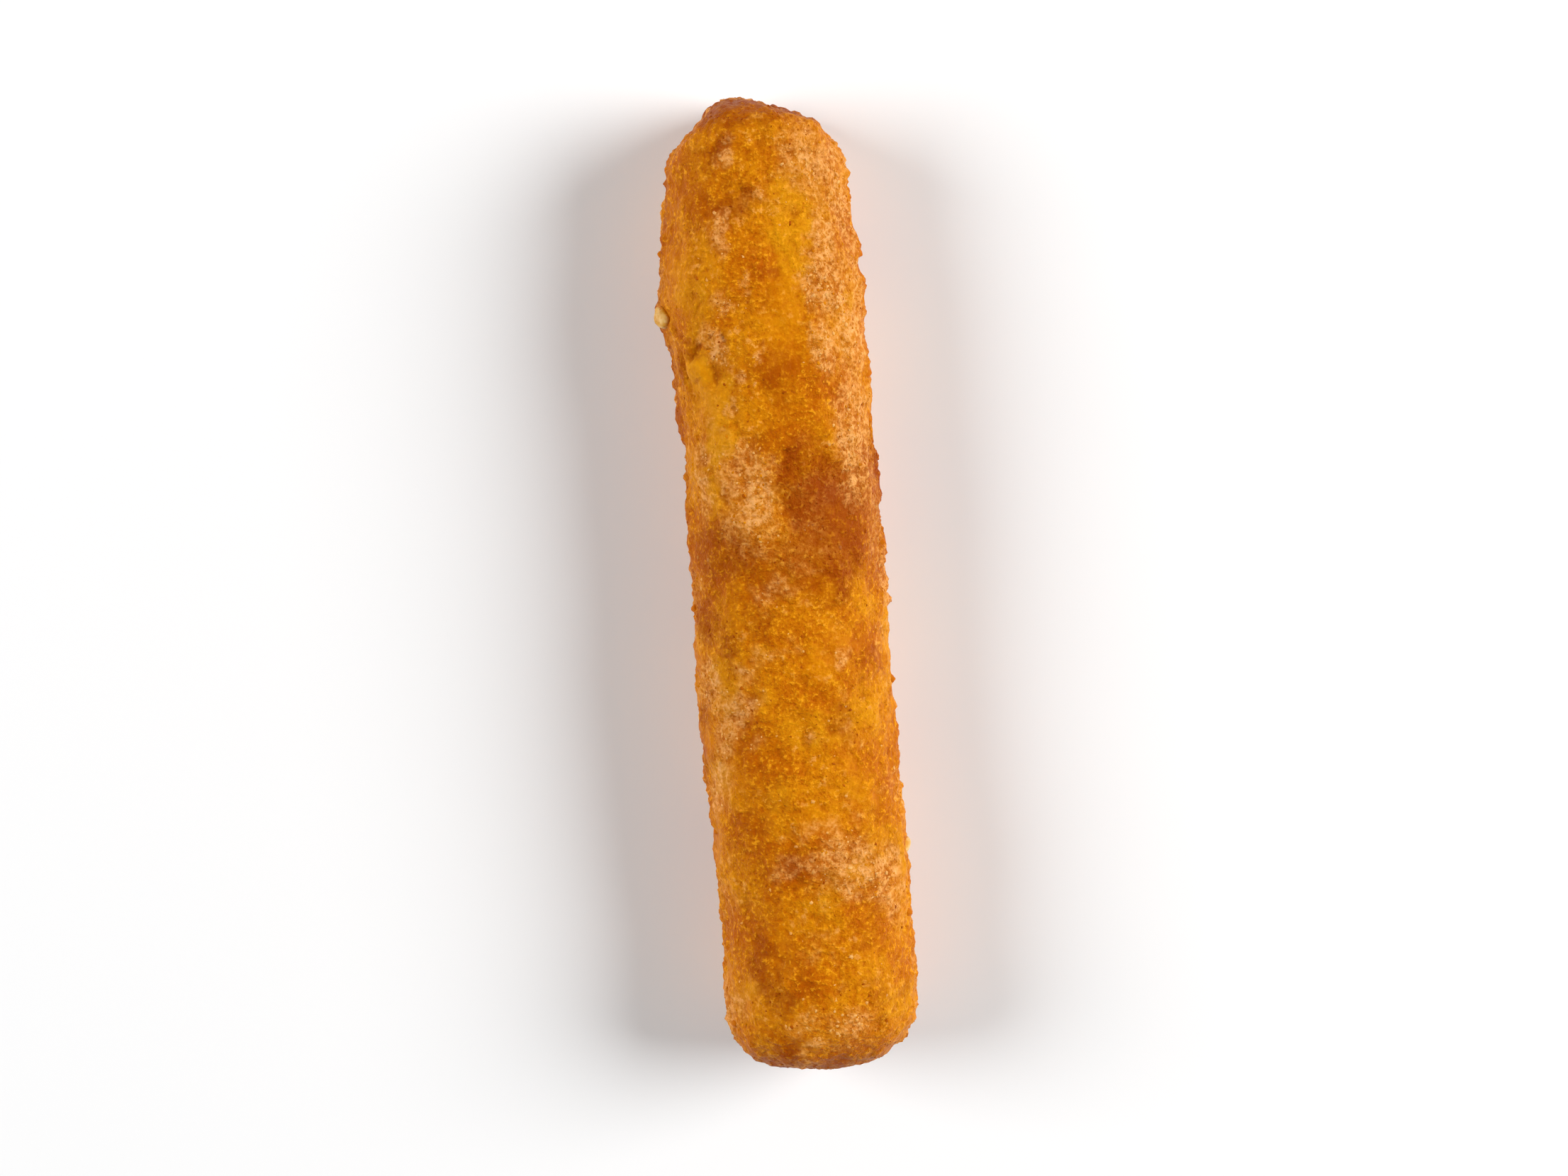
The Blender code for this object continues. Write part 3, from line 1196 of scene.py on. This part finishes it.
@dataclass
class Bubbles:
    """Pale bubbles of batter blown up in the oil, each a ragged dome sunk in the crust."""

    places: Sequence[tuple[float, float, float, float]] = (
        (-80, 19.6, 1.06, 0.54),
        (-104, 58.0, 0.90, 0.10),
        (96, 71.0, 0.80, 0.10),
    )
    segments: int = 28
    rings: int = 18
    wobble: float = 0.22
    wobble_size: float = 0.8 * MM
    stretch: float = 1.15
    squash: float = 0.62
    sunk: float = 0.30

    def build(self, surface: CrustMap) -> None:
        """Sets every bubble on the crust, all as one piece.

        Args:
            surface: Where the crust is.
        """
        shape = bmesh.new()
        climb = shape.verts.layers.float.new(TINT)
        for angle, from_head, radius, lift in self.places:
            point, outward = surface.at(angle, from_head)
            made = bmesh.ops.create_uvsphere(
                shape, u_segments=self.segments, v_segments=self.rings, radius=radius * MM
            )
            for vertex in made["verts"]:
                vertex[climb] = max(vertex.co.z / (radius * MM), 0.0)
                swell = noise.noise(vertex.co / self.wobble_size + point / MM)
                vertex.co *= 1 + self.wobble * swell
                vertex.co.y *= self.stretch
                vertex.co.z *= self.squash
                vertex.co.z += (lift - self.sunk) * radius * MM
            stand_on(shape, made["verts"], point, outward)
        mesh = mesh_from("batter_bubbles", shape, BubbleFinish().material())
        mesh.shade_smooth()
        hand_over(add_piece("batter_bubbles", mesh))


@dataclass
class Burrs:
    """Small hard spikes of batter that stand out at the edges."""

    finish: CrumbFinish
    browned: CrumbFinish
    places: Sequence[tuple[float, float, float]] = (
        (-83, 13.8, 0.42),
        (86, 15.2, 0.46),
        (83, 26.2, 0.52),
        (88, 30.6, 0.34),
        (-80, 25.2, 0.34),
        (-86, 31.0, 0.26),
        (85, 42.0, 0.40),
        (-88, 47.0, 0.38),
        (90, 55.0, 0.42),
        (-84, 68.0, 0.44),
        (80, 77.0, 0.40),
        (-70, 86.0, 0.36),
    )
    ends: Sequence[tuple[float, float, float]] = (
        (-3.4, 5.6, 0.70),
        (0.4, 5.4, 0.46),
        (2.4, 5.8, 0.60),
        (-1.4, 10.0, 0.36),
    )
    sides: int = 10
    steps: int = 5
    taper_wide: tuple[float, float] = (1.1, 0.5)
    taper_long: tuple[float, float] = (1.3, 0.6)
    ragged: float = 0.07 * MM
    ragged_size: float = 0.3 * MM
    sunk: float = 0.35
    seed: int = 7

    def build(self, surface: CrustMap) -> None:
        """Sets every spike on the crust, all as one piece, with those at the end browned.

        Args:
            surface: Where the crust is.
        """
        noise.seed_set(self.seed)
        shape = bmesh.new()
        spots = [(*surface.at(angle, run), height, False) for angle, run, height in self.places]
        spots += [(*surface.tip_at(across, up), height, True) for across, up, height in self.ends]
        for point, outward, height, browned in spots:
            made = bmesh.ops.create_uvsphere(
                shape, u_segments=self.sides, v_segments=self.steps * 2, radius=height * MM
            )
            if browned:
                for face in {face for vertex in made["verts"] for face in vertex.link_faces}:
                    face.material_index = 1
            for vertex in made["verts"]:
                level = vertex.co.z / (height * MM)
                vertex.co.x *= self.taper_wide[0] - self.taper_wide[1] * level
                vertex.co.y *= self.taper_long[0] - self.taper_long[1] * level
                jolt = noise.noise_vector(vertex.co / self.ragged_size + point / MM)
                vertex.co += jolt * self.ragged
            foot = point - outward * (self.sunk * height * MM)
            stand_on(shape, made["verts"], foot, outward)
        mesh = mesh_from("batter_burrs", shape, self.finish.material(), self.browned.material())
        mesh.shade_smooth()
        hand_over(add_piece("batter_burrs", mesh))


@dataclass(frozen=True)
class SoftBox:
    """A large soft lamp that shines at the stick."""

    name: str
    place: tuple[float, float, float]
    size: float
    power: float


@dataclass
class Studio:
    """A plain pale floor, soft lamps and the camera that looks down on the stick."""

    floor_size: float = 3.0
    floor_colour: Colour = (0.93, 0.93, 0.93, 1.0)
    floor_roughness: float = 0.7
    sky: Colour = (1.0, 1.0, 1.0, 1.0)
    sky_strength: float = 0.07
    wall_light: float = 0.95
    wall_top: tuple[float, float] = (0.14, 0.34)
    lens: float = 85.0
    sensor_wide: float = 36.0
    clip: tuple[float, float] = (0.01, 20.0)
    image_wide: int = 2212
    image_high: int = 1659
    view_high: float = 110 * MM
    tilt: float = 6.5
    lean: float = 4.4
    aim: tuple[float, float, float] = (0.0, 0.0, 8 * MM)
    lamps: Sequence[SoftBox] = (
        SoftBox("right_lamp", (1.20, 0.20, 0.90), 0.90, 24.0),
        SoftBox("left_lamp", (-1.20, 0.30, 1.00), 0.90, 17.0),
    )

    def lay_floor(self) -> None:
        """Lays the pale floor under the stick."""
        shape = bmesh.new()
        bmesh.ops.create_grid(shape, x_segments=4, y_segments=4, size=self.floor_size / 2)
        book = FinishBook("pale_floor")
        book.shader.inputs["Base Color"].default_value = self.floor_colour
        book.shader.inputs["Roughness"].default_value = self.floor_roughness
        floor = add_piece("floor", mesh_from("floor", shape, book.material))

    def hang_lamps(self) -> None:
        """Hangs the soft lamps, which the camera doesn't see."""
        for lamp in self.lamps:
            light = bpy.data.lights.new(lamp.name, "AREA")
            light.shape = "DISK"
            light.size = lamp.size
            light.energy = lamp.power
            piece = add_piece(lamp.name, light)
            piece.location = lamp.place
            way = Vector(self.aim) - Vector(lamp.place)
            piece.rotation_euler = way.to_track_quat("-Z", "Y").to_euler()
            piece.visible_camera = False

    def light_walls(self) -> None:
        """Sets the even light all round, strong from the walls and weak from above."""
        world = bpy.data.worlds.new("studio")
        world.use_nodes = True
        book = NodeBook(world.node_tree)
        climb = book.parts(book.add("ShaderNodeTexCoord", out="Generated"))[2]
        back = world.node_tree.nodes["Background"]
        back.inputs["Color"].default_value = self.sky
        book.feed(back.inputs["Strength"], climb.ramp(*self.wall_top, self.wall_light, self.sky_strength))
        bpy.context.scene.world = world

    def set_camera(self) -> None:
        """Sets the camera above the stick, tipped to the head end, with the stick's lean."""
        tilt, lean = math.radians(self.tilt), math.radians(self.lean)
        back = Vector((0.0, math.sin(tilt), math.cos(tilt)))
        upright = (Vector((0, 1, 0)) - back * back.y).normalized()
        right = upright.cross(back)
        up = upright * math.cos(lean) + right * math.sin(lean)
        across = right * math.cos(lean) - upright * math.sin(lean)
        camera = bpy.data.cameras.new("camera")
        camera.lens = self.lens
        camera.sensor_width = self.sensor_wide
        sensor_high = self.sensor_wide * self.image_high / self.image_wide
        distance = self.view_high * self.lens / sensor_high
        place = Vector(self.aim) + back * distance
        camera.clip_start, camera.clip_end = self.clip
        piece = add_piece("camera", camera)
        turned = Matrix((across, up, back)).transposed().to_4x4()
        piece.matrix_world = Matrix.Translation(place) @ turned
        bpy.context.scene.camera = piece

    def build(self) -> None:
        """Builds the whole studio."""
        self.lay_floor()
        self.hang_lamps()
        self.light_walls()
        self.set_camera()
        bpy.context.scene.view_settings.view_transform = "Standard"


GOLDEN_CRUMB = CrumbFinish("golden_crumb", from_screen(186, 96, 4), from_screen(226, 140, 16))
PALE_CRUMB = CrumbFinish("pale_crumb", from_screen(224, 142, 54), from_screen(246, 184, 108))
BROWN_CRUMB = CrumbFinish("brown_crumb", from_screen(148, 64, 4), from_screen(190, 98, 10))


@dataclass
class Stick:
    """The whole fried stick: crust, crumbs, bubbles and burrs."""

    crust: Crust = field(default_factory=Crust)
    coats: Sequence[CrumbCoat] = (
        CrumbCoat("golden_crumbs", GOLDEN_CRUMB, 11, 1.20, 0.16 * MM, 0.46 * MM, on_brown=-0.5),
        CrumbCoat("pale_crumbs", PALE_CRUMB, 23, 0.05, 0.18 * MM, 0.46 * MM, on_pale=46.0),
        CrumbCoat("brown_crumbs", BROWN_CRUMB, 37, 0.16, 0.20 * MM, 0.45 * MM, on_brown=6.0),
    )

    def build(self) -> None:
        """Builds every piece in order."""
        crust = self.crust.build(CrustFinish().material())
        for coat in self.coats:
            coat.build(crust)
        surface = CrustMap(crust)
        Bubbles().build(surface)
        Burrs(GOLDEN_CRUMB, BROWN_CRUMB).build(surface)


def main() -> None:
    """Builds the stick and its studio."""
    logging.basicConfig(level=logging.INFO, format="%(name)s: %(message)s")
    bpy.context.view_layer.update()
    Stick().build()
    Studio().build()


if __name__ == "__main__":
    main()
